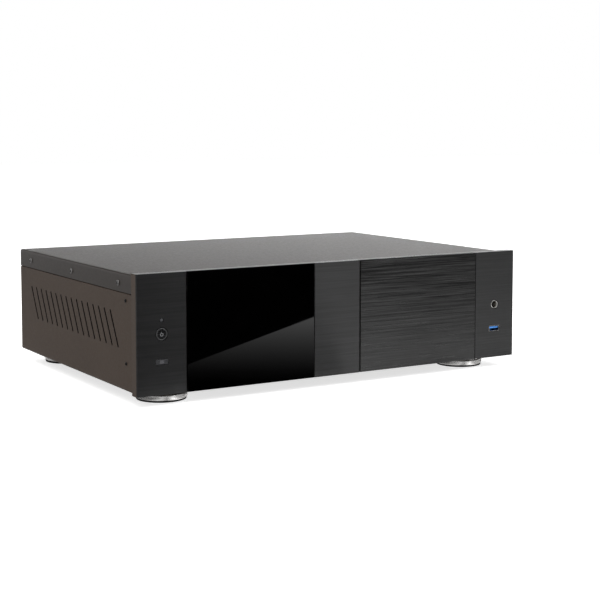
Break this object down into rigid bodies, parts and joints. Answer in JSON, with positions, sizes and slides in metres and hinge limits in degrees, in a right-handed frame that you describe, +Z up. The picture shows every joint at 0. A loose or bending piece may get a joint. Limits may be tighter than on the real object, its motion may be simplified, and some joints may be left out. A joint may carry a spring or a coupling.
{
  "type": "media player with hard drive tray",
  "caption": "Full-width media player case with a glass display bay, a pull-out hard drive tray on telescopic runners, turned metal feet and rear connectors.",
  "frame": {"origin": "on the surface it stands on, below the middle of its bounding box", "axes": "+X to the right seen from the front, +Y from the front panel to the rear, +Z up"},
  "size_m": [0.43, 0.308, 0.121],
  "materials": {
    "panel_metal": "fine brushed, anodised black",
    "fascia_metal": "brushed along its length, anodised dark grey",
    "case_paint": "fine satin powder coat",
    "black_glass": "polished, backed black",
    "remote_lens": "tinted lens",
    "lamp": "clear light guide",
    "black_plastic": "moulded",
    "blue_plastic": "moulded",
    "foot_metal": "turned, fine lathe lines",
    "pad_rubber": "matt",
    "bright_metal": "nickel plated",
    "dark_metal": "black zinc plated",
    "zinc_steel": "zinc plated sheet",
    "cast_metal": "cast",
    "board": "glass-fibre circuit board",
    "winding": "taped winding on a ferrite core"
  },
  "bodies": {
    "root": {"front_plate": "panel_metal", "display_glass": "black_glass", "display_module": "black_plastic", "front_board": "board", "power_lamp": "lamp", "remote_window": "remote_lens", "headphone_jack": "bright_metal", "front_usb_shell": "bright_metal", "front_usb_insert": "blue_plastic", "jack_board": "board", "left_front_bracket": "zinc_steel", "right_front_bracket": "zinc_steel", "left_upper_side_screw": "dark_metal", "left_lower_side_screw": "dark_metal", "right_upper_side_screw": "dark_metal", "right_lower_side_screw": "dark_metal", "base_chassis": "case_paint", "top_cover": "case_paint", "rear_panel": "case_paint", "left_front_cover_screw": "bright_metal", "left_middle_cover_screw": "bright_metal", "left_rear_cover_screw": "bright_metal", "right_front_cover_screw": "bright_metal", "right_middle_cover_screw": "bright_metal", "right_rear_cover_screw": "bright_metal", "front_left_foot": "foot_metal", "front_right_foot": "foot_metal", "rear_left_foot": "foot_metal", "rear_right_foot": "foot_metal", "front_left_foot_pad": "pad_rubber", "front_right_foot_pad": "pad_rubber", "rear_left_foot_pad": "pad_rubber", "rear_right_foot_pad": "pad_rubber", "drive_cage": "zinc_steel", "backplane_board": "board", "left_outer_runner": "zinc_steel", "right_outer_runner": "zinc_steel", "main_board": "board", "heat_sink": "cast_metal", "power_board": "board", "transformer": "winding", "fan_frame": "black_plastic", "mains_inlet": "black_plastic", "mains_switch": "black_plastic", "hdmi_port": "bright_metal", "network_usb_port": "bright_metal", "audio_jacks": "black_plastic"},
    "tray": {"drive_sled": "zinc_steel", "tray_fascia": "fascia_metal", "left_inner_runner": "zinc_steel", "right_inner_runner": "zinc_steel", "lower_drive_case": "cast_metal", "lower_drive_cover": "bright_metal", "upper_drive_case": "cast_metal", "upper_drive_cover": "bright_metal"},
    "left_middle": {"left_middle_runner": "zinc_steel"},
    "right_middle": {"right_middle_runner": "zinc_steel"},
    "power_button": {"power_button": "panel_metal"},
    "fan_rotor": {"fan_rotor": "black_plastic"},
    "mains_rocker": {"mains_rocker": "black_plastic"}
  },
  "joints": [
    {"name": "tray_slide", "type": "slide", "parent": "root", "child": "tray", "axis": [0, -1, 0], "range_m": [0, 0.158]},
    {"name": "left_runner_slide", "type": "slide", "parent": "root", "child": "left_middle", "axis": [0, -1, 0], "range_m": [0, 0.079]},
    {"name": "right_runner_slide", "type": "slide", "parent": "root", "child": "right_middle", "axis": [0, -1, 0], "range_m": [0, 0.079]},
    {"name": "power_button_press", "type": "slide", "parent": "root", "child": "power_button", "axis": [0, 1, 0], "range_m": [0, 0.001], "stiffness_N_per_m": 500, "springref_m": -0.001},
    {"name": "fan_spin", "type": "hinge", "parent": "root", "child": "fan_rotor", "pos_m": [0.0938, 0.1316, 0.0655], "axis": [0, 1, 0], "continuous": true},
    {"name": "mains_rocker_tip", "type": "hinge", "parent": "root", "child": "mains_rocker", "pos_m": [-0.14, 0.1439, 0.042], "axis": [-1, 0, 0], "range_deg": [0, 18]}
  ],
  "couplings": [
    {"joint": "left_runner_slide", "follows": "tray_slide", "ratio": 0.5},
    {"joint": "right_runner_slide", "follows": "tray_slide", "ratio": 0.5}
  ]
}
